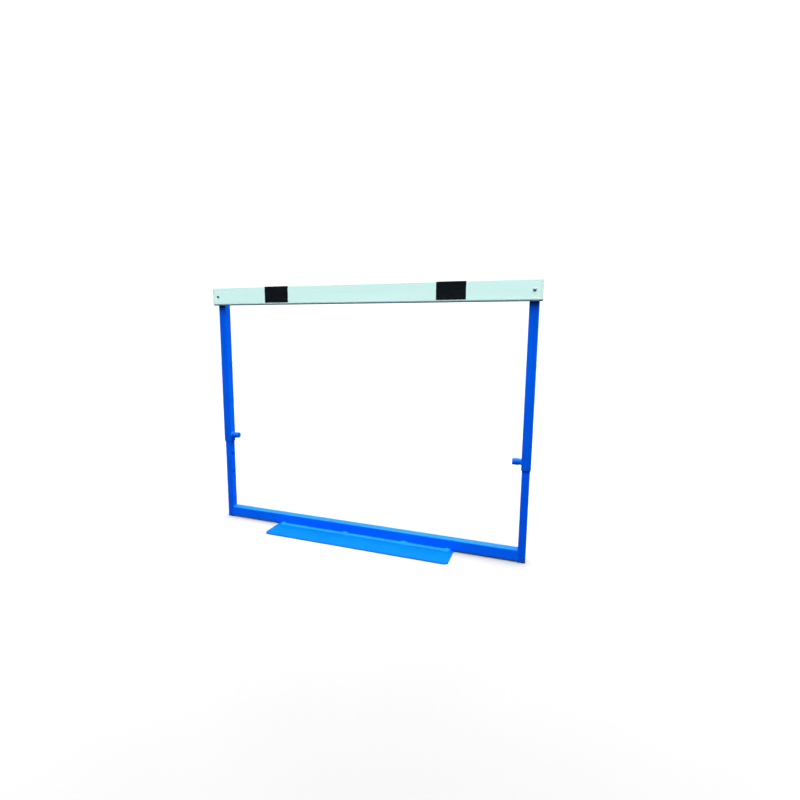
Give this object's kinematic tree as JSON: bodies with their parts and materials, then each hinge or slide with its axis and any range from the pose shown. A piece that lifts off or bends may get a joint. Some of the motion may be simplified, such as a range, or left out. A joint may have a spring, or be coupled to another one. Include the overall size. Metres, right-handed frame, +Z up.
{
  "type": "track hurdle",
  "caption": "Height-adjustable track hurdle: a board on two telescoping square uprights with a crossmember, a flat foot plate to the front and a spring pin on each side.",
  "frame": {"origin": "on the ground under the middle of the bar, in the plane of the uprights' axes: a point of the foot plate's underside", "axes": "+X along the bar to the right as seen from the foot plate's side, +Y from the foot plate's free edge to the back, +Z up"},
  "size_m": [1.205, 0.1323, 0.9147],
  "materials": {
    "blue_paint": "gloss enamel on steel",
    "bar_paint": "pale satin paint on a softwood board",
    "black_tape": "satin vinyl tape",
    "black_plastic": "moulded polyethylene",
    "zinc_steel": "bright zinc plate",
    "spring_steel": "oiled spring wire",
    "brass": "turned brass"
  },
  "bodies": {
    "base": {"crossmember": "blue_paint", "lower_upright_left": "blue_paint", "lower_upright_right": "blue_paint", "base_plate": "blue_paint", "plate_weld": "blue_paint", "crossmember_weld_left": "blue_paint", "crossmember_weld_right": "blue_paint", "foot_plug_left": "black_plastic", "foot_plug_right": "black_plastic"},
    "upper_frame": {"upper_upright_left": "blue_paint", "upper_upright_right": "blue_paint", "upright_cap_left": "black_plastic", "upright_cap_right": "black_plastic", "crossbar": "bar_paint", "stripe_left": "black_tape", "stripe_right": "black_tape", "bar_bolt_left": "zinc_steel", "bar_bolt_right": "zinc_steel", "bar_washer_left": "zinc_steel", "bar_washer_right": "zinc_steel", "bar_nut_left": "zinc_steel", "bar_nut_right": "zinc_steel", "pin_barrel_left": "blue_paint", "pin_barrel_right": "blue_paint", "barrel_weld_left": "blue_paint", "barrel_weld_right": "blue_paint", "barrel_bush_left": "brass", "barrel_bush_right": "brass", "pin_spring_left": "spring_steel", "pin_spring_right": "spring_steel"},
    "pin_left": {"lock_pin_left": "zinc_steel", "pull_knob_left": "blue_paint", "knob_pin_left": "zinc_steel"},
    "pin_right": {"lock_pin_right": "zinc_steel", "pull_knob_right": "blue_paint", "knob_pin_right": "zinc_steel"}
  },
  "joints": [
    {"name": "height_adjust", "type": "slide", "parent": "base", "child": "upper_frame", "axis": [0, 0, 1], "range_m": [-0.1524, 0.1524]},
    {"name": "pin_left_pull", "type": "slide", "parent": "upper_frame", "child": "pin_left", "axis": [1, 0, 0], "range_m": [-0.0035, 0.004], "stiffness_N_per_m": 1500, "springref_m": -0.0145, "deforming": ["pin_spring_left"]},
    {"name": "pin_right_pull", "type": "slide", "parent": "upper_frame", "child": "pin_right", "axis": [-1, 0, 0], "range_m": [-0.0035, 0.004], "stiffness_N_per_m": 1500, "springref_m": -0.0145, "deforming": ["pin_spring_right"]}
  ]
}
